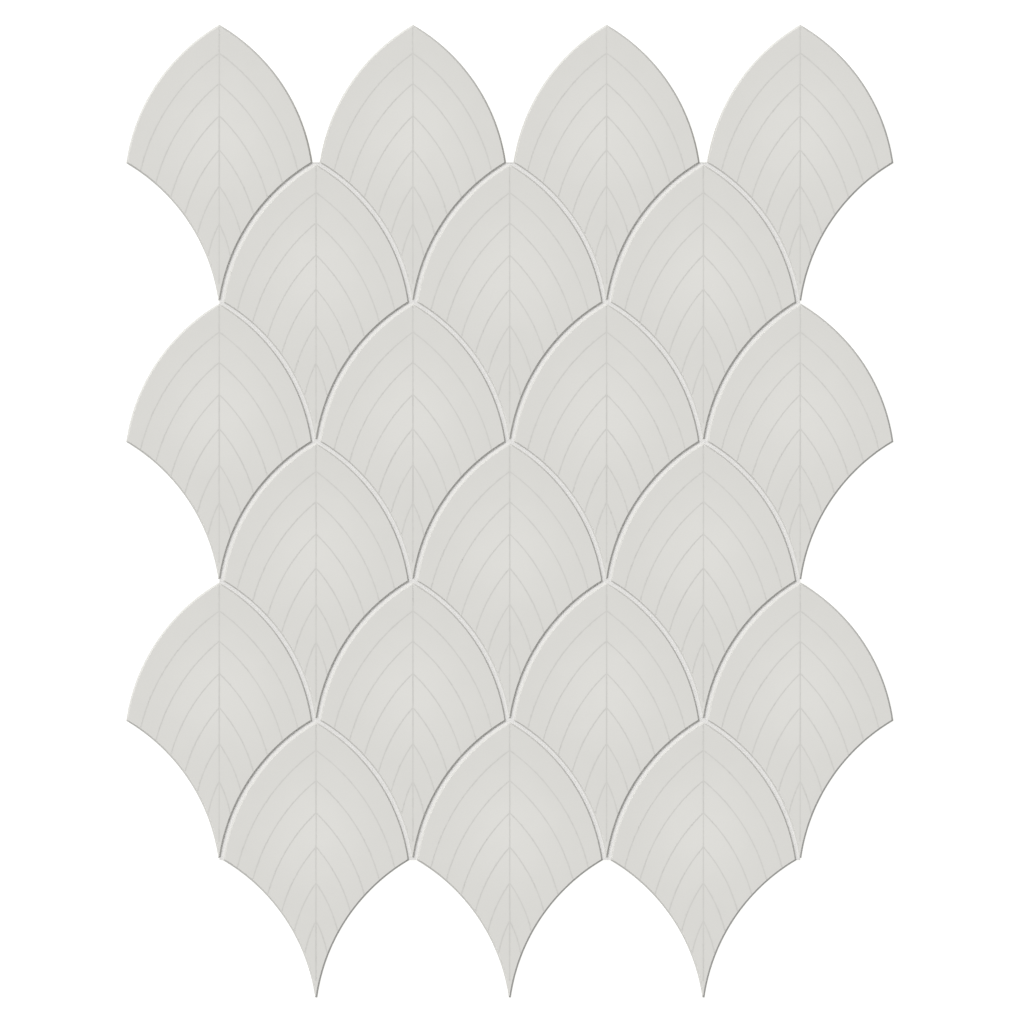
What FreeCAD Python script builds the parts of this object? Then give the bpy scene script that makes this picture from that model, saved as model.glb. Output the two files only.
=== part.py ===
"""Fish scale mosaic sheet: 21 pointed ceramic scales, bonded at their joints, on a mesh.

The sheet lies flat with its decorated faces up. +X runs across the sheet, +Y runs
from the pointed tips up to the pointed heads of the scales, and +Z is up. The origin
is the centre of the underside. All sizes are in millimetres.

A scale has a pointed head where two convex arcs meet, two shoulders, and two concave
arcs that run down to a narrow tip. Its convex arcs nest in the concave arcs of the
two scales above it, so all four arcs share one radius and the joint stays even.
White filler bonds the joints, and a glass-fibre mesh carries the whole sheet.
"""
import FreeCAD
import Part

import math
import os

# The lattice that the scales are laid on
PITCH_ACROSS = 60.7      # midrib to midrib in a row
PITCH_DOWN = 43.7        # head to head from one row to the next
ROWS = 6
LONG_ROW = 4             # scales in the top row and every other one; the rows between have one less
JOINT = 0.95             # open joint between nested edges
JOINT_LEAN = 30.0        # degrees above level that an edge faces where its joint is widest
SHOULDER_GAP = 2.2       # between the shoulders of neighbours in a row

# One scale
EDGE_BOW = 6.1           # how far each arc of the outline bows from the line between its ends
SCALE_THICK = 8.0
BEVEL_WIDTH = 0.6
BEVEL_DROP = 0.6         # how far the bevel comes down the wall

# The midrib, a V-groove pressed into the face from the head to the tip
MIDRIB_WIDTH = 0.6
MIDRIB_DEPTH = 0.35
MIDRIB_END = 0.5         # face left on each side of the groove where it stops short of the tip

# The white filler in the joints
FILLER_RECESS = 0.7      # from the decorated faces down to the filler

# The backing mesh
BACKING_THICK = 0.4
BACKING_INSET = 0.2      # how far the backing is trimmed back from the outer edges
CORNER_FILL = 3.0        # radius that the trimming knife leaves in the corners between scales

UP = FreeCAD.Vector(0, 0, 1)
FACE = BACKING_THICK + SCALE_THICK       # height of the decorated faces


def vector(x, y, z=0.0):
    return FreeCAD.Vector(x, y, z)


# Plan of one scale, with its head at (0, 0) and its tip on -Y.
# A convex arc runs from the head to a shoulder level with the heads of the next row.
SHOULDER = vector((PITCH_ACROSS - SHOULDER_GAP) / 2, -PITCH_DOWN)
EDGE_RADIUS = (SHOULDER.Length ** 2 / 4 + EDGE_BOW ** 2) / (2 * EDGE_BOW)
ARC_REACH = EDGE_RADIUS - EDGE_BOW       # from the middle of that line to the arc's centre
CONVEX_X = ARC_REACH * PITCH_DOWN / SHOULDER.Length - SHOULDER.x / 2
CONVEX_Y = -ARC_REACH * SHOULDER.x / SHOULDER.Length - PITCH_DOWN / 2

# A concave arc is the convex arc of the scale that nests there, moved over by the joint.
HOLLOW_X = PITCH_ACROSS / 2 + CONVEX_X - JOINT * math.cos(math.radians(JOINT_LEAN))
HOLLOW_Y = -PITCH_DOWN + CONVEX_Y + JOINT * math.sin(math.radians(JOINT_LEAN))
SCALE_LENGTH = 2 * PITCH_DOWN - JOINT


def turned(profile, centre_x, centre_y):
    """The solid that a profile of (radius, height) points sweeps round a vertical axis."""
    ring = [vector(centre_x + radius, centre_y, height) for radius, height in profile]
    return Part.Face(Part.makePolygon(ring + ring[:1])).revolve(vector(centre_x, centre_y), UP)


def convex_side(side):
    """A disc whose rim is one convex edge, bevelled at the top."""
    profile = [(0, BACKING_THICK), (EDGE_RADIUS, BACKING_THICK), (EDGE_RADIUS, FACE - BEVEL_DROP),
               (EDGE_RADIUS - BEVEL_WIDTH, FACE), (0, FACE)]
    return turned(profile, side * CONVEX_X, CONVEX_Y)


def hollow_cutter(side):
    """A disc that cuts one concave edge, flared past the top for the bevel."""
    profile = [(0, 0), (EDGE_RADIUS, 0), (EDGE_RADIUS, FACE - BEVEL_DROP),
               (EDGE_RADIUS + 2 * BEVEL_WIDTH, FACE + BEVEL_DROP), (0, FACE + BEVEL_DROP)]
    return turned(profile, side * HOLLOW_X, HOLLOW_Y)


def tip_cutter():
    """A block that squares off the needle tip."""
    corner = vector(-PITCH_ACROSS / 2, -SCALE_LENGTH - PITCH_DOWN)
    return Part.makeBox(PITCH_ACROSS, PITCH_DOWN, FACE + BEVEL_DROP, corner)


def midrib_cutter():
    """A V-shaped bar along the midrib, standing as far out of the face as it cuts in."""
    rim = EDGE_RADIUS + BEVEL_WIDTH
    level = HOLLOW_X - MIDRIB_WIDTH / 2 - MIDRIB_END
    end = HOLLOW_Y + math.sqrt(rim ** 2 - level ** 2)
    ring = [vector(-MIDRIB_WIDTH, 0, FACE + MIDRIB_DEPTH), vector(0, 0, FACE - MIDRIB_DEPTH),
            vector(MIDRIB_WIDTH, 0, FACE + MIDRIB_DEPTH)]
    return Part.Face(Part.makePolygon(ring + ring[:1])).extrude(vector(0, end))


def make_scale():
    """One scale standing on the backing, with its head at x = y = 0."""
    blank = convex_side(-1).common(convex_side(1))
    return blank.cut([hollow_cutter(-1), hollow_cutter(1), tip_cutter(), midrib_cutter()]).Solids[0]


def heads(row):
    """Where the heads of the scales in one row lie, counting rows from the top."""
    top = (SCALE_LENGTH + PITCH_DOWN * (ROWS - 1)) / 2
    length = LONG_ROW - row % 2
    return [vector(PITCH_ACROSS * (column - (length - 1) / 2), top - PITCH_DOWN * row)
            for column in range(length)]


def make_filler(scale, rows):
    """The filler, poured between the midribs of nested scales and level with their shoulders.

    Each cell runs from the midrib of a scale to the midrib of one that it nests in, so
    the filler ends in a short straight cut wherever a joint opens at the sheet's edge.
    """
    shoulder = max(scale.Vertexes, key=lambda corner: corner.X)
    depth = FACE - FILLER_RECESS - BACKING_THICK
    cells = []
    for row in range(1, ROWS):
        for lower in heads(row):
            for upper in heads(row - 1):
                if abs(upper.x - lower.x) < PITCH_ACROSS:
                    corner = vector(min(upper.x, lower.x), lower.y + shoulder.Y, BACKING_THICK)
                    cells.append(Part.makeBox(PITCH_ACROSS / 2, PITCH_DOWN, depth, corner))
    return cells[0].multiFuse(cells[1:]).removeSplitter().cut(rows).Solids[0]


def disc(radius, centre_x, centre_y):
    return Part.Face(Part.Wire(Part.makeCircle(radius, vector(centre_x, centre_y))))


def backed_plan():
    """The plan of one scale, with its edges moved out by the corner fill.

    The backing is trimmed straight across the convex edges and along the concave ones.
    """
    kite = Part.Face(Part.makePolygon([vector(0, 0), SHOULDER, vector(0, -SCALE_LENGTH),
                                       vector(-SHOULDER.x, SHOULDER.y), vector(0, 0)]))
    grown = kite.makeOffset2D(CORNER_FILL, 2)
    for side in (-1, 1):
        grown = grown.cut(disc(EDGE_RADIUS - CORNER_FILL, side * HOLLOW_X, HOLLOW_Y))
    return grown.Faces[0]


def make_backing():
    """One sheet under all the scales, whole across their joints.

    Growing the plans by the corner fill joins them, and shrinking the joined outline by
    the same amount leaves its corners rounded, as a knife does.
    """
    plan = backed_plan()
    plans = [plan.translated(head) for row in range(ROWS) for head in heads(row)]
    joined = plans[0].multiFuse(plans[1:]).removeSplitter()
    outline = Part.Face(joined.Faces[0].OuterWire)
    return outline.makeOffset2D(-CORNER_FILL - BACKING_INSET).extrude(UP * BACKING_THICK).Solids[0]


os.makedirs("parts", exist_ok=True)
scale = make_scale()
rows = [Part.makeCompound([scale.translated(head) for head in heads(row)]) for row in range(ROWS)]
for number, row in enumerate(rows, 1):
    row.exportStep(f"parts/scales_row_{number}.step")
make_filler(scale, rows).exportStep("parts/joint_filler.step")
make_backing().exportStep("parts/backing_mesh.step")
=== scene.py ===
# %% [markdown]
# # A mosaic sheet of fish scale tiles
#
# The object is one sheet of wall tile: 21 pointed ceramic scales in six staggered rows.
# White filler bonds their joints, and a glass-fibre mesh carries them from behind.
# Each scale is pressed with a midrib and six pairs of curved veins, like a leaf.
#
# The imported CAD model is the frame. It gives every place and outer size, and this file
# makes the pieces that the eye lingers on: the veined faces, the soft bevels, the filler
# and the woven mesh. The sheet lies flat, and the camera looks straight down on it.

# %% Load the frame
import math

import bmesh
import bpy
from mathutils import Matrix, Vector


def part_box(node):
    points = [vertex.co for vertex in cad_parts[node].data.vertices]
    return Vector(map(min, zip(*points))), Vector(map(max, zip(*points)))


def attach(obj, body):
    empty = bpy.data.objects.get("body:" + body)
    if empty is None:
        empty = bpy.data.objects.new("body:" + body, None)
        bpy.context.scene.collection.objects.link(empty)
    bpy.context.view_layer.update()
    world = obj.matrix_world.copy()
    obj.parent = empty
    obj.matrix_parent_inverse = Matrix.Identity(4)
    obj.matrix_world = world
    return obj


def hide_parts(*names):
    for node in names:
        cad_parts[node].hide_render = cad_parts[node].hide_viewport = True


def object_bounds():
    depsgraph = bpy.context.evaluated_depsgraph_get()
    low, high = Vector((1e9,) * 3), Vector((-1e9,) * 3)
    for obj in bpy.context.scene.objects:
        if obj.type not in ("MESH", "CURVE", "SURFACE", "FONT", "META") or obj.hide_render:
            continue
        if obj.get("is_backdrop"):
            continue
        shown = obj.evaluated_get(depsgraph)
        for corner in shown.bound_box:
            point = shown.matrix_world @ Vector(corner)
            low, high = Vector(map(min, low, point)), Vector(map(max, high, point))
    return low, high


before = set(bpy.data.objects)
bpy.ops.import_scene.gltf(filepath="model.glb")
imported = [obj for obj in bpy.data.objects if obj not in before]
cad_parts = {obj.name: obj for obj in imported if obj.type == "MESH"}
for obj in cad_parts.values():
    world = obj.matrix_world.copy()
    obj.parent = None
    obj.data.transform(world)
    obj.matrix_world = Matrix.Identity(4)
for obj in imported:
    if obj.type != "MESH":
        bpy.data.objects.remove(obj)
cad_low, cad_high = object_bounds()
MM = 0.001
print("CAD box in mm:", [round(v / MM, 2) for v in cad_high - cad_low])

# %% [markdown]
# ## Camera
#
# The photograph shows the sheet square on, with joints equally wide from edge to edge,
# so it was taken from far away with a long lens. A lens hardly ever sees a flat sheet
# without perspective from close by: eight metres makes it all but parallel. The sheet
# is a little off the middle of the photograph, and the camera stands off by as much.

# %% Camera
PHOTO_WIDTH = 320.95 * MM            # what the photograph's width spans at the scales' faces
CAMERA_ABOVE = 8.0                   # metres from the faces to the lens
OFF_CENTRE = Vector((0.7, -0.3)) * MM

camera_data = bpy.data.cameras.new("camera")
camera_data.sensor_width = 36.0
camera_data.lens = camera_data.sensor_width * CAMERA_ABOVE / PHOTO_WIDTH
camera_data.clip_end = 30.0
camera = bpy.data.objects.new("camera", camera_data)
camera.location = (OFF_CENTRE.x, OFF_CENTRE.y, cad_high.z + CAMERA_ABOVE)
bpy.context.scene.collection.objects.link(camera)
bpy.context.scene.camera = camera
print("Lens in mm:", round(camera_data.lens))

# %% [markdown]
# ## Light and floor
#
# The bevels tell where the light was. Those that face up and left are the brightest,
# and those that face down and right are the darkest, so one soft lamp shines from the
# upper left, halfway up, and an even white room does the rest. The picture's background
# is pure white: the sheet lies on a light table, whose glow takes the shadows away.

# %% Helpers for materials
def linear(hex_colour):
    """An sRGB hex colour as the linear RGBA that Blender works in."""
    channels = [int(hex_colour[i:i + 2], 16) / 255 for i in (1, 3, 5)]
    curve = [c / 12.92 if c <= 0.04045 else ((c + 0.055) / 1.055) ** 2.4 for c in channels]
    return (*curve, 1.0)


def add(tree, kind, settings=None, **links):
    """Adds a node. A link is a node's socket or a plain value, by its input's name or _number."""
    node = tree.nodes.new(kind)
    for name, value in (settings or {}).items():
        setattr(node, name, value)
    for name, value in links.items():
        key = int(name[1:]) if name[0] == "_" else name.replace("_", " ")
        if isinstance(value, bpy.types.NodeSocket):
            tree.links.new(value, node.inputs[key])
        else:
            node.inputs[key].default_value = value
    return node


def new_material(name):
    """An empty material with a Principled shader, as (material, tree, shader)."""
    material = bpy.data.materials.new(name)
    material.use_nodes = True
    tree = material.node_tree
    return material, tree, tree.nodes["Principled BSDF"]


# %% Room, lamp and light table
ROOM = "#FFFFFF"
ROOM_STRENGTH = 0.42
LAMP_STRENGTH = 3.47                 # watts per square metre
LAMP_HEIGHT = math.radians(48)       # above the horizon
LAMP_TURN = math.radians(136)        # round the sheet from its right, so it stands at the upper left
LAMP_SIZE = math.radians(24)         # how wide the lamp looks from the sheet
TABLE = "#7C7C7B"
TABLE_GLOW = "#F2F2F0"
GLOW_STRENGTH = 1.08
TABLE_SIZE = 6.0                     # metres across

world = bpy.data.worlds.new("white room")
world.use_nodes = True
world.node_tree.nodes["Background"].inputs["Color"].default_value = linear(ROOM)
world.node_tree.nodes["Background"].inputs["Strength"].default_value = ROOM_STRENGTH
bpy.context.scene.world = world
bpy.context.scene.view_settings.view_transform = "Standard"

lamp_data = bpy.data.lights.new("lamp", "SUN")
lamp_data.energy = LAMP_STRENGTH
lamp_data.angle = LAMP_SIZE
lamp = bpy.data.objects.new("lamp", lamp_data)
toward = Vector((math.cos(LAMP_TURN), math.sin(LAMP_TURN), math.tan(LAMP_HEIGHT)))
lamp.rotation_euler = toward.to_track_quat("Z", "Y").to_euler()
bpy.context.scene.collection.objects.link(lamp)

table_finish, tree, shader = new_material("opal acrylic light table")
shader.inputs["Base Color"].default_value = linear(TABLE)
shader.inputs["Roughness"].default_value = 0.9
shader.inputs["Emission Color"].default_value = linear(TABLE_GLOW)
shader.inputs["Emission Strength"].default_value = GLOW_STRENGTH

table_mesh = bpy.data.meshes.new("light_table")
half = TABLE_SIZE / 2
table_corners = [(-half, -half, 0), (half, -half, 0), (half, half, 0), (-half, half, 0)]
table_mesh.from_pydata(table_corners, [], [(0, 1, 2, 3)])
table_mesh.materials.append(table_finish)
table = bpy.data.objects.new("light_table", table_mesh)
table.visible_diffuse = False        # its glow is for the picture, and would wash out the bevels
bpy.context.scene.collection.objects.link(table)
table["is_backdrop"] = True
print("Lamp above the horizon in degrees:", round(math.degrees(LAMP_HEIGHT)))

# %% [markdown]
# ## The lattice, read from the frame
#
# The rows of the CAD model say how the scales are laid. A row of four is wider than a
# row of three by one pitch, and each row starts one pitch lower than the last.

# %% Lattice
ROWS = 6
LONG_ROW = 4                         # scales in the top row and every other one
ROW_NODES = [f"scales_row_{n}" for n in range(1, ROWS + 1)]

row_boxes = [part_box(name) for name in ROW_NODES]
row_low, row_high = row_boxes[0]
next_low, next_high = row_boxes[1]
PITCH_ACROSS = (row_high.x - row_low.x) - (next_high.x - next_low.x)
PITCH_DOWN = row_high.y - next_high.y
SCALE_LENGTH = row_high.y - row_low.y
BACK = row_low.z                     # the scales' flat backs, on the mesh
FACE = row_high.z                    # their decorated faces


def heads(row):
    """Where the pointed heads of one row lie, counting rows from the top of the sheet."""
    length = LONG_ROW - row % 2
    return [Vector(((column - (length - 1) / 2) * PITCH_ACROSS, row_boxes[row][1].y, 0))
            for column in range(length)]


print("Pitch in mm:", round(PITCH_ACROSS / MM, 2), "across,", round(PITCH_DOWN / MM, 2), "down")
print("Scales:", sum(len(heads(row)) for row in range(ROWS)))

# %% [markdown]
# ## The outline of one scale
#
# Two convex arcs meet at the head, and two concave arcs run from the shoulders to the
# tip. All four have one radius. Moving the outline inwards shrinks the convex radius
# and grows the concave one, so one function draws it at any depth of the bevel, and
# the blank is those outlines stacked like contour lines and joined.

# %% Outline
EDGE_BOW = 6.1 * MM                  # how far an arc bows from the line between its ends
SHOULDER_GAP = 2.2 * MM              # between the shoulders of neighbours in a row
JOINT = 0.95 * MM                    # between nested edges
JOINT_LEAN = math.radians(30)        # above level that an edge faces where its joint is widest
ARC_STEPS = 48                       # straight steps along each arc

shoulder = Vector(((PITCH_ACROSS - SHOULDER_GAP) / 2, -PITCH_DOWN))
EDGE_RADIUS = (shoulder.length_squared / 4 + EDGE_BOW ** 2) / (2 * EDGE_BOW)
reach = EDGE_RADIUS - EDGE_BOW
convex_centre = Vector((shoulder.x / 2 - reach * PITCH_DOWN / shoulder.length,
                        shoulder.y / 2 - reach * shoulder.x / shoulder.length))
hollow_centre = Vector((PITCH_ACROSS / 2 - convex_centre.x - JOINT * math.cos(JOINT_LEAN),
                        convex_centre.y - PITCH_DOWN + JOINT * math.sin(JOINT_LEAN)))


def meeting(centre_a, radius_a, centre_b, radius_b):
    """The upper point where two circles cross."""
    between = centre_b - centre_a
    along = (radius_a ** 2 - radius_b ** 2 + between.length_squared) / (2 * between.length)
    aside = math.sqrt(radius_a ** 2 - along ** 2)
    across = between.orthogonal().normalized()
    return centre_a + between.normalized() * along + (across if across.y > 0 else -across) * aside


def arc(centre, start, end, steps):
    """Points on the circle about centre, from start to end the short way round."""
    first = math.atan2(start.y - centre.y, start.x - centre.x)
    turn = math.atan2(end.y - centre.y, end.x - centre.x) - first
    turn = (turn + math.pi) % (2 * math.pi) - math.pi
    radius = (start - centre).length
    angles = [first + turn * i / steps for i in range(steps + 1)]
    return [centre + radius * Vector((math.cos(a), math.sin(a))) for a in angles]


def outline(inset):
    """The scale's outline moved inwards, anticlockwise from the head down the left side."""
    convex, hollow = EDGE_RADIUS - inset, EDGE_RADIUS + inset
    head = Vector((0, convex_centre.y + math.sqrt(convex ** 2 - convex_centre.x ** 2)))
    corner = meeting(convex_centre, convex, hollow_centre, hollow)
    level = inset - SCALE_LENGTH
    half_tip = hollow_centre.x - math.sqrt(hollow ** 2 - (level - hollow_centre.y) ** 2)
    if half_tip < 0:
        half_tip, level = 0.0, hollow_centre.y + math.sqrt(hollow ** 2 - hollow_centre.x ** 2)
    tip = Vector((half_tip, level))
    right = arc(convex_centre, head, corner, ARC_STEPS)[:-1]
    right += arc(hollow_centre, corner, tip, ARC_STEPS)
    left = [Vector((-p.x, p.y)) for p in right[1:]]
    return left + right[::-1]


print("Scale in mm:", round(2 * max(p.x for p in outline(0)) / MM, 2), "by", round(SCALE_LENGTH / MM, 2))

# %% Blank of one scale
BEVEL_WIDTH = 0.5 * MM               # in plan
BEVEL_DROP = 0.9 * MM                # from the face down the wall
EASE = 0.12                          # how far the bevel's two edges are softened, as a share of it
TOUCHING = 0.001 * MM                # points nearer than this are made one
bevel_steps = [(0, 1 + EASE), (EASE / 2, 1 - EASE / 2), (1 - EASE / 2, EASE / 2), (1 + EASE, 0)]
bevel = [(across * BEVEL_WIDTH, FACE - down * BEVEL_DROP) for across, down in bevel_steps]


def new_object(name, mesh):
    """An object at the origin that shows this mesh."""
    made = bpy.data.objects.new(name, mesh)
    bpy.context.scene.collection.objects.link(made)
    return made


def stacked(name, contours):
    """A closed block, from contours of (inset, height) that run from its foot to its top."""
    block = bmesh.new()
    rings = [[block.verts.new((p.x, p.y, height)) for p in outline(inset)]
             for inset, height in contours]
    for lower, upper in zip(rings, rings[1:]):
        for i in range(len(lower)):
            j = (i + 1) % len(lower)
            block.faces.new((lower[i], lower[j], upper[j], upper[i]))
    block.faces.new(rings[0][::-1])
    block.faces.new(rings[-1])
    bmesh.ops.remove_doubles(block, verts=block.verts, dist=TOUCHING)
    bmesh.ops.recalc_face_normals(block, faces=block.faces)
    mesh = bpy.data.meshes.new(name)
    block.to_mesh(mesh)
    block.free()
    return new_object(name, mesh)


blank = stacked("scale_blank", [(0, BACK)] + bevel)
print("Blank:", len(blank.data.vertices), "points")

# %% [markdown]
# ## Veins
#
# A press stamps the veins, so they are grooves in the face. On each half, six arcs
# leave the midrib at widening steps, sweep outwards and turn down to the lower edge,
# where they stop just short of the bevel. The later ones bow less. The rule gives
# each vein its head, its foot and its bow, and an arc through them is its path.

# %% Vein paths
VEINS = 6
FIRST_VEIN = 9.0 * MM                # from the head down to the first vein
VEIN_STEP = 9.5 * MM                 # from the first vein to the second
VEIN_GROWTH = 0.6 * MM               # each later step is this much longer
FOOT_SHARE = 0.641                   # how far a foot lies from the shoulder, per length down the midrib,
FOOT_LEAD = 0.7 * MM                 # less this much
BOW_FIRST = 20.4                     # degrees between the first vein's start and its chord
BOW_STEP = 2.4                       # degrees less for each later vein
GROOVE_STOP = 0.1 * MM               # plain rim between a groove's end and the bevel
GROOVE_WIDTH = 0.28 * MM             # of the midrib
GROOVE_DEPTH = 0.03 * MM
VEIN_SIZE = 0.85                     # a vein's groove as a share of the midrib's
VEIN_POINTS = 36                     # along a vein, before the points of its tapered end
END_TAPER = [(0.6, 1.0), (0.3, 0.8), (0.1, 0.5), (0.0, 0.2)]  # (mm to the end, share of its size)

shoulder_corner = meeting(convex_centre, EDGE_RADIUS, hollow_centre, EDGE_RADIUS)
shoulder_turn = math.atan2(shoulder_corner.y - hollow_centre.y, hollow_centre.x - shoulder_corner.x)


def vein_path(number, side):
    """An arc from the midrib to the lower edge, as (x, y, z, size) points."""
    down = FIRST_VEIN + VEIN_STEP * number + VEIN_GROWTH * number * (number - 1) / 2
    turn = shoulder_turn - (down * FOOT_SHARE - FOOT_LEAD) / EDGE_RADIUS
    head = Vector((0, -down))
    stop = EDGE_RADIUS + BEVEL_WIDTH + GROOVE_STOP
    foot = hollow_centre + stop * Vector((-math.cos(turn), math.sin(turn)))
    chord = foot - head
    bow = math.radians(BOW_FIRST - BOW_STEP * number)
    length = chord.length * bow / math.sin(bow)
    ends = [(1 - mm * MM / length, size) for mm, size in END_TAPER]
    even = [(ends[0][0] * i / VEIN_POINTS, 1.0) for i in range(VEIN_POINTS)]
    path = []
    for share, size in even + ends:
        swing = bow * (2 * share - 1)
        along = 0.5 + math.sin(swing) / math.sin(bow) / 2
        aside = (math.cos(swing) - math.cos(bow)) / math.sin(bow) / 2
        point = head + chord * along + Vector((-chord.y, chord.x)) * aside
        path.append((side * point.x, point.y, FACE, size * VEIN_SIZE))
    return path


def new_curve(name, paths, closed=False):
    """Paths of (x, y, z, size) points as one curve object."""
    curve = bpy.data.curves.new(name, "CURVE")
    curve.dimensions = "3D"
    curve.twist_mode = "Z_UP"
    for path in paths:
        spline = curve.splines.new("POLY")
        spline.points.add(len(path) - 1)
        for point, (x, y, z, size) in zip(spline.points, path):
            point.co = (x, y, z, 1.0)
            point.radius = size
        spline.use_cyclic_u = closed
    return new_object(name, curve)


MIDRIB_START = 2 * BEVEL_WIDTH       # above the head, so that the groove runs out through the bevel
MIDRIB_END = 0.8 * MM                # from the middle of the midrib's end to the bevels beside it
rim = EDGE_RADIUS + BEVEL_WIDTH
midrib_end = hollow_centre.y + math.sqrt(rim ** 2 - (hollow_centre.x - MIDRIB_END) ** 2)
midrib = [(0, MIDRIB_START, FACE, 1.0)]
midrib += [(0, midrib_end + mm * MM, FACE, size) for mm, size in END_TAPER]
vein_paths = [vein_path(n, side) for n in range(VEINS) for side in (-1, 1)]
veins = new_curve("vein_paths", [midrib] + vein_paths)
print("Midrib in mm:", round(-midrib_end / MM, 1))

# %% [markdown]
# ## Matt glaze on fired clay
#
# The scales are pressed stoneware with a matt glaze, fired once. The glaze gives the
# eye a warm pale grey with a soft, wide sheen. It is a touch paler in the middle of a
# scale. In the grooves it is darker: glaze pools there, and painted shade stands in for
# the shadow of the groove. Tiny crystals make it matt, so a fine grain breaks up the
# light. The back and the lower walls stay bare: rough, chalky clay. The tones are laid
# by each point's place on its own scale, which the press tree stores as "leaf". The
# clouds and the grain read the sheet's coordinates, so no two scales look quite alike.

# %% Fired ceramic: its tones, and where each one lies
GLAZE = "#C4C3BF"
# A touch paler towards the middle of a scale
MIDDLE = "#C9C8C4"
# Pooled glaze and painted shade in the grooves, in one darker colour
GROOVE_POOL_AND_SHADE = "#BCBBB7"
CLAY = "#CDC8BE"
MIDDLE_DOWN = 33.9 * MM              # from the head to the palest spot
MIDDLE_REACH = (26.0 * MM, 29.0 * MM)  # how far it reaches, across and down
POOL_AND_SHADE_DEPTH = 0.6 * GROOVE_DEPTH      # where the pooled glaze and painted shade in a groove are darkest
GRAIN = 0.35 * MM                    # crystals of the matt glaze, drawn coarse enough to show
CLOUD = 7.0 * MM                     # slow clouding of its colour
GLAZE_FOOT = 2.5 * MM                # how far below the face the glaze runs down the walls
FOOT_WAVE = 2.0 * MM                 # from the highest to the lowest place where it ends
FOOT_FADE = 0.2 * MM                 # half of the height in which it thins out

ceramic, tree, shader = new_material("fired_ceramic")
leaf = add(tree, "ShaderNodeAttribute", {"attribute_name": "leaf"})
axes = add(tree, "ShaderNodeSeparateXYZ", Vector=leaf.outputs["Vector"])
spot = add(tree, "ShaderNodeTexCoord")
centred = add(tree, "ShaderNodeVectorMath", {"operation": "ADD"},
              _0=leaf.outputs["Vector"], _1=(0, MIDDLE_DOWN, 0))
spread = add(tree, "ShaderNodeVectorMath", {"operation": "DIVIDE"},
             _0=centred.outputs[0], _1=(*MIDDLE_REACH, 1.0))
outward = add(tree, "ShaderNodeVectorMath", {"operation": "LENGTH"}, _0=spread.outputs[0])
# Paler towards the middle of the scale, fading out at its reach
middle = add(tree, "ShaderNodeMapRange", {"interpolation_type": "SMOOTHSTEP"},
             Value=outward.outputs["Value"], From_Min=1.0, From_Max=0.0)
pressed = add(tree, "ShaderNodeAttribute", {"attribute_name": "pressed"})
depth = add(tree, "ShaderNodeMapRange", {"interpolation_type": "SMOOTHSTEP"},
            Value=axes.outputs["Z"], From_Min=FACE, From_Max=FACE - POOL_AND_SHADE_DEPTH)
# Painted shade and pooled glaze, full at the floor of a pressed groove
groove_pool_and_shade = add(tree, "ShaderNodeMath", {"operation": "MULTIPLY"},
           _0=depth.outputs[0], _1=pressed.outputs["Fac"])
cloud = add(tree, "ShaderNodeTexNoise", Vector=spot.outputs["Object"], Scale=1 / CLOUD, Detail=3.0)
grain = add(tree, "ShaderNodeTexNoise", Vector=spot.outputs["Object"], Scale=1 / GRAIN, Detail=2.0)
foot = add(tree, "ShaderNodeMath", {"operation": "MULTIPLY_ADD"},
           _0=cloud.outputs["Fac"], _1=-FOOT_WAVE, _2=axes.outputs["Z"])
glaze_end = FACE - GLAZE_FOOT - FOOT_WAVE / 2
bare = add(tree, "ShaderNodeMapRange", Value=foot.outputs[0],
           From_Min=glaze_end + FOOT_FADE, From_Max=glaze_end - FOOT_FADE)

# %% Fired ceramic: its colour, gloss and grain
glaze = add(tree, "ShaderNodeMix", {"data_type": "RGBA"},
            _0=middle.outputs[0], _6=linear(GLAZE), _7=linear(MIDDLE))
# The grooves darkened with pooled glaze and painted shade
pooled_and_shaded = add(tree, "ShaderNodeMix", {"data_type": "RGBA"},
             _0=groove_pool_and_shade.outputs[0], _6=glaze.outputs[2], _7=linear(GROOVE_POOL_AND_SHADE))
mottle = add(tree, "ShaderNodeMapRange", Value=cloud.outputs["Fac"], To_Min=0.985, To_Max=1.015)
speckle = add(tree, "ShaderNodeMapRange", Value=grain.outputs["Fac"], To_Min=0.97, To_Max=1.03)
shade = add(tree, "ShaderNodeMath", {"operation": "MULTIPLY"},
            _0=mottle.outputs[0], _1=speckle.outputs[0])
coat = add(tree, "ShaderNodeVectorMath", {"operation": "SCALE"},
           Vector=pooled_and_shaded.outputs[2], Scale=shade.outputs[0])
body = add(tree, "ShaderNodeMix", {"data_type": "RGBA"},
           _0=bare.outputs[0], _6=coat.outputs[0], _7=linear(CLAY))
rough = add(tree, "ShaderNodeMapRange", Value=grain.outputs["Fac"], To_Min=0.42, To_Max=0.54)
rougher = add(tree, "ShaderNodeMix", _0=bare.outputs[0], _2=rough.outputs[0], _3=0.9)
relief = add(tree, "ShaderNodeBump", Height=grain.outputs["Fac"], Strength=0.35, Distance=0.02 * MM)
tree.links.new(body.outputs[2], shader.inputs["Base Color"])
tree.links.new(rougher.outputs[0], shader.inputs["Roughness"])
tree.links.new(relief.outputs["Normal"], shader.inputs["Normal"])
shader.inputs["IOR"].default_value = 1.5
print(ceramic.name, len(tree.nodes), "nodes")

# %% [markdown]
# ## Pressing the face
#
# A groove is a V with eased lips and a round floor. Sweeping that profile along every
# path makes the ribs of the press, and taking them out of the blank stamps the face.
# Curve to Mesh and Mesh Boolean do both inside one Geometry Nodes tree, so the width
# and depth stay inputs that are easy to change. The tree also stores what the glaze
# reads: each point's place on its own scale, and which faces the press has touched.

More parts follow.
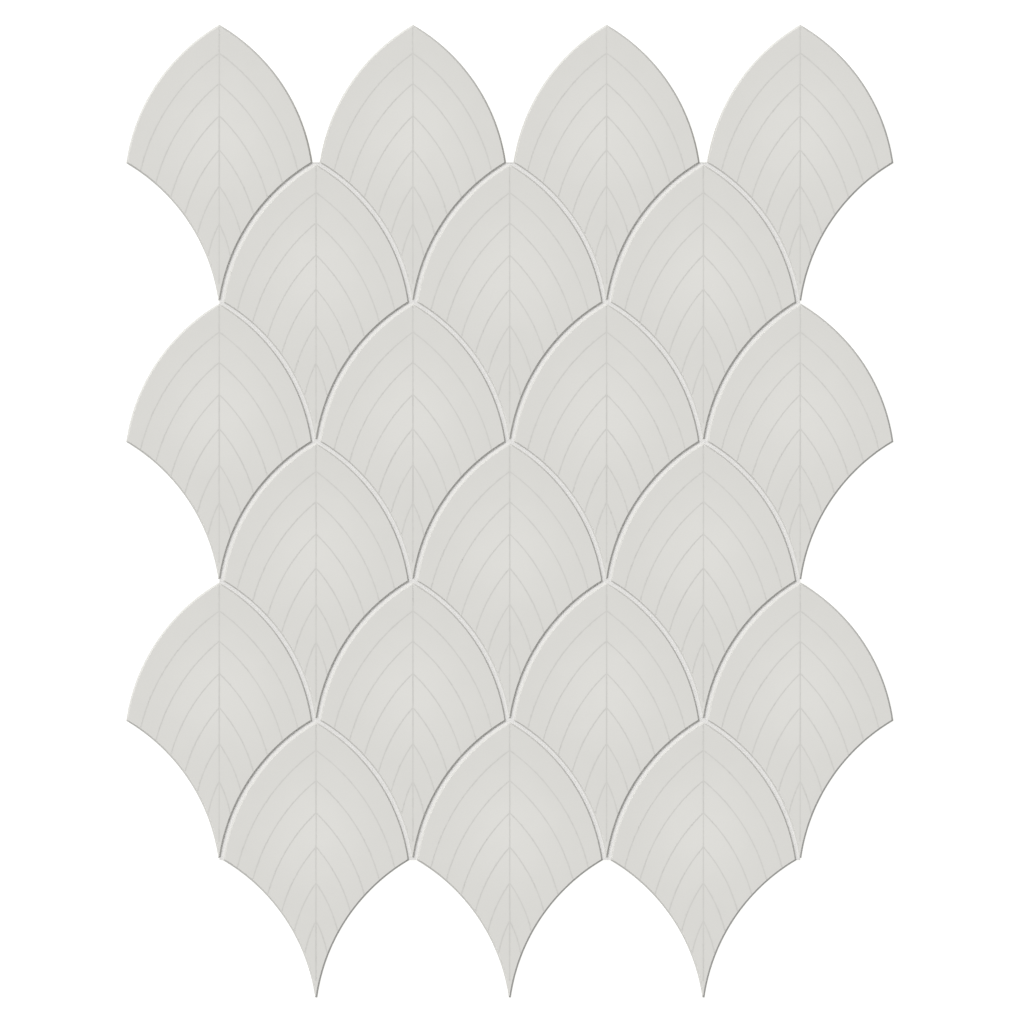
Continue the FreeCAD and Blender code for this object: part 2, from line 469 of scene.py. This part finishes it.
# %% Groove profile
LIP = 1.3                            # where the eased lip ends, in half widths of the groove
RIB_TOP = 0.6                        # how far the press stays above the face, in groove depths
HALF_PROFILE = [(0.0, -1.0), (0.12, -0.93), (0.8, -0.13), (1.0, -0.03), (LIP, 0.04)]
right_half = HALF_PROFILE + [(LIP, RIB_TOP)]
left_half = [(-x, y) for x, y in right_half[:0:-1]]
profile = [(x, y, 0, 1.0) for x, y in left_half + right_half]
groove = new_curve("groove_profile", [profile], closed=True)
print("Groove profile:", len(profile), "points")


# %% Helpers for Geometry Nodes
def new_tree(name, **inputs):
    """A Geometry Nodes tree, as (tree, its inputs, its output node)."""
    tree = bpy.data.node_groups.new(name, "GeometryNodeTree")
    tree.interface.new_socket("Geometry", in_out="INPUT", socket_type="NodeSocketGeometry")
    tree.interface.new_socket("Geometry", in_out="OUTPUT", socket_type="NodeSocketGeometry")
    for label, kind in inputs.items():
        tree.interface.new_socket(label.replace("_", " "), in_out="INPUT",
                                  socket_type="NodeSocket" + kind)
    return tree, tree.nodes.new("NodeGroupInput").outputs, tree.nodes.new("NodeGroupOutput")


def run_tree(source, tree, name, **values):
    """Runs a tree on an object and returns its result as a plain mesh object."""
    modifier = source.modifiers.new(tree.name, "NODES")
    modifier.node_group = tree
    for item in tree.interface.items_tree:
        key = item.name.replace(" ", "_")
        if item.in_out == "INPUT" and key in values:
            modifier[item.identifier] = values[key]
    depsgraph = bpy.context.evaluated_depsgraph_get()
    mesh = bpy.data.meshes.new_from_object(source.evaluated_get(depsgraph), depsgraph=depsgraph)
    mesh.name = name
    source.modifiers.remove(modifier)
    return new_object(name, mesh)


def end_tree(tree, geometry, finish, result):
    """Ends a tree in real mesh, shaded smooth and with its finish."""
    real = add(tree, "GeometryNodeRealizeInstances", Geometry=geometry)
    smooth = add(tree, "GeometryNodeSetShadeSmooth", Geometry=real.outputs["Geometry"])
    finished = add(tree, "GeometryNodeSetMaterial", Geometry=smooth.outputs["Geometry"], Material=finish)
    tree.links.new(finished.outputs["Geometry"], result.inputs["Geometry"])


def discard(*helpers):
    """Removes helper objects once they have done their work."""
    for helper in helpers:
        bpy.data.objects.remove(helper)


# %% Press tree
press, given, result = new_tree("press the veins", Paths="Object", Profile="Object",
                                Groove_width="Float", Groove_depth="Float", Finish="Material")
paths = add(press, "GeometryNodeObjectInfo", Object=given["Paths"])
shape = add(press, "GeometryNodeObjectInfo", Object=given["Profile"])
size = add(press, "ShaderNodeCombineXYZ", X=given["Groove width"], Y=given["Groove depth"], Z=1.0)
sized = add(press, "GeometryNodeTransform", Geometry=shape.outputs["Geometry"],
            Scale=size.outputs["Vector"])
ribs = add(press, "GeometryNodeCurveToMesh", Curve=paths.outputs["Geometry"],
           Profile_Curve=sized.outputs["Geometry"], Fill_Caps=True)
marked = add(press, "GeometryNodeStoreNamedAttribute", {"data_type": "FLOAT", "domain": "FACE"},
             Geometry=ribs.outputs["Mesh"], Name="pressed", Value=1.0)
stamped = add(press, "GeometryNodeMeshBoolean", {"operation": "DIFFERENCE", "solver": "EXACT"},
              Mesh_1=given["Geometry"], Mesh_2=marked.outputs["Geometry"], Self_Intersection=True)
place = add(press, "GeometryNodeInputPosition")
leaf = add(press, "GeometryNodeStoreNamedAttribute", {"data_type": "FLOAT_VECTOR", "domain": "POINT"},
           Geometry=stamped.outputs["Mesh"], Name="leaf", Value=place.outputs["Position"])
end_tree(press, leaf.outputs["Geometry"], given["Finish"], result)

scale = run_tree(blank, press, "scale", Paths=veins, Profile=groove,
                 Groove_width=GROOVE_WIDTH / 2, Groove_depth=GROOVE_DEPTH, Finish=ceramic)
print("Pressed scale:", len(scale.data.vertices), "points,", len(scale.data.polygons), "faces")

# %% [markdown]
# ## Laying the rows
#
# A row repeats one scale at an even pitch, which is what instances are for: a Mesh
# Line gives the heads, and Instance on Points puts a scale on each. Realize Instances
# turns them to real mesh at the end. Weighted normals then keep the big panels flat
# while the soft lips of grooves and bevels still shade round.

# %% Lay tree
lay, given, result = new_tree("lay a row", Scale="Object", Count="Int", First="Vector",
                              Pitch="Vector", Finish="Material")
one = add(lay, "GeometryNodeObjectInfo", Object=given["Scale"], As_Instance=True)
line = add(lay, "GeometryNodeMeshLine", {"mode": "OFFSET"}, Count=given["Count"],
           Start_Location=given["First"], Offset=given["Pitch"])
laid = add(lay, "GeometryNodeInstanceOnPoints", Points=line.outputs["Mesh"],
           Instance=one.outputs["Geometry"])
end_tree(lay, laid.outputs["Instances"], given["Finish"], result)

# %% Rows of scales
CREASE = math.radians(40)            # edges that turn more than this stay sharp


def even_shading(piece):
    """Shades round but keeps creases, and weighs by face size so that large faces look flat."""
    piece.data.set_sharp_from_angle(angle=CREASE)
    modifier = piece.modifiers.new("even shading", "WEIGHTED_NORMAL")
    modifier.mode = "FACE_AREA"
    modifier.keep_sharp = True
    depsgraph = bpy.context.evaluated_depsgraph_get()
    old = piece.data
    piece.data = bpy.data.meshes.new_from_object(piece.evaluated_get(depsgraph), depsgraph=depsgraph)
    piece.data.name = piece.name
    piece.modifiers.remove(modifier)
    bpy.data.meshes.remove(old)


def lay_row(item, row, name, finish):
    """One row of an item as a plain mesh object."""
    anchor = new_object("anchor", bpy.data.meshes.new("anchor"))
    made = run_tree(anchor, lay, name, Scale=item, Count=len(heads(row)), First=heads(row)[0],
                    Pitch=Vector((PITCH_ACROSS, 0, 0)), Finish=finish)
    discard(anchor)
    return made


for row, node in enumerate(ROW_NODES):
    piece = lay_row(scale, row, f"veined_{node}", ceramic)
    even_shading(piece)
    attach(piece, "root")
    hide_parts(node)
    print(piece.name, len(piece.data.vertices), "points")

# %% [markdown]
# ## Joint filler
#
# White filler, poured from the back, holds the scales together. It covers the foot of
# each bevel, and sags a little between the scales. It is one slab less the scales. The
# rising edge comes from skirts: blocks of the same outline that step outwards as they
# go down, joined to the slab before the scales are taken out. Such cuts leave slivers,
# so the points that all but touch are merged at the end.

# %% Filler shape
filler_low, filler_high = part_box("joint_filler")
FILLER_TOP = filler_high.z
SAG = 0.08 * MM                      # how far its middle lies below its edges
BITE = 0.04 * MM                     # how far it runs into the scales, so that no slit shows
CLEAR = 1.0 * MM                     # how far a cutter runs past what it cuts

# The skirt's contours from its foot up, as (mm out from the scale's edge, depth in sags)
SKIRT = [(0.36, 3.0), (0.36, 1.0), (0.2, 0.8), (0.02, 0.4), (-0.2, 0.0)]


def box_between(name, low, high):
    """A closed box between two corners."""
    block = bmesh.new()
    bmesh.ops.create_cube(block, size=1.0)
    for corner in block.verts:
        corner.co = [(low[i] + high[i]) / 2 + corner.co[i] * (high[i] - low[i]) for i in range(3)]
    mesh = bpy.data.meshes.new(name)
    block.to_mesh(mesh)
    block.free()
    return new_object(name, mesh)


def lay_all(item, name):
    """The item on every head of the sheet, as one mesh object."""
    rows = [lay_row(item, row, name, None) for row in range(ROWS)]
    whole = bmesh.new()
    for part in rows:
        whole.from_mesh(part.data)
    mesh = bpy.data.meshes.new(name)
    whole.to_mesh(mesh)
    whole.free()
    discard(*rows)
    return new_object(name, mesh)


skirt = stacked("skirt", [(-out * MM, FILLER_TOP - depth * SAG) for out, depth in SKIRT])
plug = stacked("plug", [(BITE, BACK - CLEAR)] + [(inset + BITE, height) for inset, height in bevel])
skirts = lay_all(skirt, "skirts")
plugs = lay_all(plug, "plugs")
slab = box_between("slab", filler_low, (filler_high.x, filler_high.y, FILLER_TOP - SAG))
margin = Vector((0, 0, CLEAR))
pour_area = box_between("pour_area", filler_low - margin, filler_high + margin)
print("Filler area in mm:", [round(v / MM, 1) for v in filler_high - filler_low])

# %% [markdown]
# White acrylic filler dries matt and slightly sandy. What the eye gets is a chalk
# white line with no shine, a little uneven in brightness, so the material is rough,
# with a grain of a few tenths of a millimetre and faint clouds.

# %% White filler
FILLER = "#CCCBC9"
SAND = 0.3 * MM                      # grit of the filler
DRIFT = 9.0 * MM                     # faint clouds in its brightness

chalk, tree, shader = new_material("white_filler")
spot = add(tree, "ShaderNodeTexCoord")
sand = add(tree, "ShaderNodeTexNoise", Vector=spot.outputs["Object"], Scale=1 / SAND, Detail=3.0)
drift = add(tree, "ShaderNodeTexNoise", Vector=spot.outputs["Object"], Scale=1 / DRIFT, Detail=2.0)
grit = add(tree, "ShaderNodeMapRange", Value=sand.outputs["Fac"], To_Min=0.94, To_Max=1.03)
dirt = add(tree, "ShaderNodeMapRange", Value=drift.outputs["Fac"], To_Min=0.97, To_Max=1.02)
both = add(tree, "ShaderNodeMath", {"operation": "MULTIPLY"}, _0=grit.outputs[0], _1=dirt.outputs[0])
white = add(tree, "ShaderNodeVectorMath", {"operation": "SCALE"},
            _0=linear(FILLER)[:3], Scale=both.outputs[0])
lumps = add(tree, "ShaderNodeBump", Height=sand.outputs["Fac"], Strength=0.4, Distance=0.05 * MM)
tree.links.new(white.outputs[0], shader.inputs["Base Color"])
tree.links.new(lumps.outputs["Normal"], shader.inputs["Normal"])
shader.inputs["Roughness"].default_value = 0.85
print(chalk.name, len(tree.nodes), "nodes")

# %% Pour tree
SLIVER = 0.002 * MM                  # points of the cut filler nearer than this are merged

pour, given, result = new_tree("pour the filler", Skirts="Object", Area="Object", Plugs="Object",
                               Sliver="Float", Finish="Material")
low = add(pour, "GeometryNodeObjectInfo", Object=given["Skirts"])
area = add(pour, "GeometryNodeObjectInfo", Object=given["Area"])
holes = add(pour, "GeometryNodeObjectInfo", Object=given["Plugs"])
joined = add(pour, "GeometryNodeMeshBoolean", {"operation": "UNION", "solver": "EXACT"},
             Mesh_2=low.outputs["Geometry"], Self_Intersection=True)
pour.links.new(given["Geometry"], joined.inputs["Mesh 2"])
poured = add(pour, "GeometryNodeMeshBoolean", {"operation": "DIFFERENCE", "solver": "EXACT"},
             Mesh_1=joined.outputs["Mesh"], Mesh_2=holes.outputs["Geometry"], Self_Intersection=True)
kept = add(pour, "GeometryNodeMeshBoolean", {"operation": "INTERSECT", "solver": "EXACT"},
           Mesh_2=poured.outputs["Mesh"])
pour.links.new(area.outputs["Geometry"], kept.inputs["Mesh 2"])
clean = add(pour, "GeometryNodeMergeByDistance", Geometry=kept.outputs["Mesh"],
            Distance=given["Sliver"])
end_tree(pour, clean.outputs["Geometry"], given["Finish"], result)

filler = run_tree(slab, pour, "joint_filler_line", Skirts=skirts, Area=pour_area, Plugs=plugs,
                  Sliver=SLIVER, Finish=chalk)
even_shading(filler)
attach(filler, "root")
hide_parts("joint_filler")
print("Filler:", len(filler.data.vertices), "points")
discard(slab, skirt, plug, skirts, plugs, pour_area, blank, scale, veins, groove)

# %% [markdown]
# ## Woven glass-fibre mesh
#
# The net behind the scales is woven from flat yarns about five millimetres apart and
# dipped in resin. Each yarn goes over one neighbour and under the next, so a yarn is
# a shallow wave, and its neighbour is the same wave half a step on. Curves give the
# waves, Curve to Mesh gives them their flat section, and the outline of the CAD's
# backing trims them, as the knife does on the real sheet.

# %% Yarns
net_low, net_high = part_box("backing_mesh")
NET_STEP = PITCH_ACROSS / 12         # so that every joint hides its yarns alike
YARN_WIDTH = 1.1 * MM
YARN_PLAY = 0.006 * MM               # by how much a yarn is thinner than half the net
NET_MARGIN = 0.002 * MM              # left between the yarns and the faces of the CAD's sheet
YARN_THICK = (net_high.z - net_low.z) / 2 - YARN_PLAY
WAVE = (net_high.z - net_low.z - YARN_THICK) / 2 - NET_MARGIN
WAVE_POINTS = 3                      # points on a yarn from one crossing to the next
YARN_SIDES = 6                       # enough for a yarn this thin

across_count = math.ceil((net_high.x - net_low.x) / NET_STEP)
down_count = math.ceil((net_high.y - net_low.y) / NET_STEP)
across_count += 1 - across_count % 2  # an even number of yarns, so that none runs up the middle
net_middle = (net_low + net_high) / 2


def yarn(number, crossings, over_first):
    """(place along it, height) of one yarn's points, from before its first crossing to past its last."""
    points = []
    for i in range(-WAVE_POINTS // 2, crossings * WAVE_POINTS - WAVE_POINTS // 2):
        at = i / WAVE_POINTS
        height = math.cos(math.pi * (at + number + over_first))
        points.append(((at - (crossings - 1) / 2) * NET_STEP, net_middle.z + WAVE * height))
    return points


yarns = []
for n in range(down_count + 1):
    y = net_middle.y + (n - down_count / 2) * NET_STEP
    yarns.append([(net_middle.x + x, y, z, 1.0) for x, z in yarn(n, across_count + 1, 0)])
for n in range(across_count + 1):
    x = net_middle.x + (n - across_count / 2) * NET_STEP
    yarns.append([(x, net_middle.y + y, z, 1.0) for y, z in yarn(n, down_count + 1, 1)])
threads = new_curve("yarns", yarns)

angles = [math.tau * i / YARN_SIDES for i in range(YARN_SIDES)]
section = [(math.cos(a) * YARN_WIDTH / 2, math.sin(a) * YARN_THICK / 2, 0, 1.0) for a in angles]
yarn_section = new_curve("yarn_section", [section], closed=True)
print("Yarns:", len(yarns))

# %% [markdown]
# Resin-dipped glass yarn is milky and half shiny: fine fibres run along it, and the
# resin rounds it over. It lets light through, so it glows where the table is behind
# it, and looks a cool off-white elsewhere.

# %% Glass fibre
FIBRE = "#EDEFEC"
FIBRE_STEP = 0.12 * MM               # strands, drawn ten times as coarse as glass filaments
MILK = 6.0 * MM                      # cloudy patches in the resin

glass, tree, shader = new_material("glass_fibre")
spot = add(tree, "ShaderNodeTexCoord")
strands = add(tree, "ShaderNodeTexNoise", Vector=spot.outputs["Object"], Scale=1 / FIBRE_STEP,
              Detail=2.0)
milk = add(tree, "ShaderNodeTexNoise", Vector=spot.outputs["Object"], Scale=1 / MILK, Detail=2.0)
tint = add(tree, "ShaderNodeMapRange", Value=milk.outputs["Fac"], To_Min=0.92, To_Max=1.04)
colour = add(tree, "ShaderNodeVectorMath", {"operation": "SCALE"},
             _0=linear(FIBRE)[:3], Scale=tint.outputs[0])
ridges = add(tree, "ShaderNodeBump", Height=strands.outputs["Fac"], Strength=0.5, Distance=0.03 * MM)
tree.links.new(colour.outputs[0], shader.inputs["Base Color"])
tree.links.new(ridges.outputs["Normal"], shader.inputs["Normal"])
shader.inputs["Roughness"].default_value = 0.4
shader.inputs["IOR"].default_value = 1.5
shader.inputs["Transmission Weight"].default_value = 0.2
print(glass.name, len(tree.nodes), "nodes")

# %% Trimmed outline of the net
cut = bmesh.new()
cut.from_mesh(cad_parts["backing_mesh"].data)
bmesh.ops.remove_doubles(cut, verts=cut.verts, dist=TOUCHING)
for corner in cut.verts:
    corner.co.z += -CLEAR if corner.co.z < net_middle.z else CLEAR
outline_mesh = bpy.data.meshes.new("net_outline")
cut.to_mesh(outline_mesh)
cut.free()
net_outline = new_object("net_outline", outline_mesh)
print("Net outline:", len(outline_mesh.vertices), "points")

# %% Weave tree
weave, given, result = new_tree("weave the net", Yarns="Object", Section="Object", Finish="Material")
paths = add(weave, "GeometryNodeObjectInfo", Object=given["Yarns"])
shape = add(weave, "GeometryNodeObjectInfo", Object=given["Section"])
tubes = add(weave, "GeometryNodeCurveToMesh", Curve=paths.outputs["Geometry"],
            Profile_Curve=shape.outputs["Geometry"], Fill_Caps=True)
trimmed = add(weave, "GeometryNodeMeshBoolean", {"operation": "INTERSECT", "solver": "MANIFOLD"},
              Mesh_2=tubes.outputs["Mesh"])
weave.links.new(given["Geometry"], trimmed.inputs["Mesh 2"])
end_tree(weave, trimmed.outputs["Mesh"], given["Finish"], result)

net = run_tree(net_outline, weave, "woven_backing_net", Yarns=threads, Section=yarn_section,
               Finish=glass)
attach(net, "root")
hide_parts("backing_mesh")
print("Net:", len(net.data.vertices), "points")
discard(threads, yarn_section, net_outline)

# %% Sizes and finish
bpy.context.view_layer.update()
low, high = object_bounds()
print("Visual box in mm:", [round(v / MM, 2) for v in high - low])
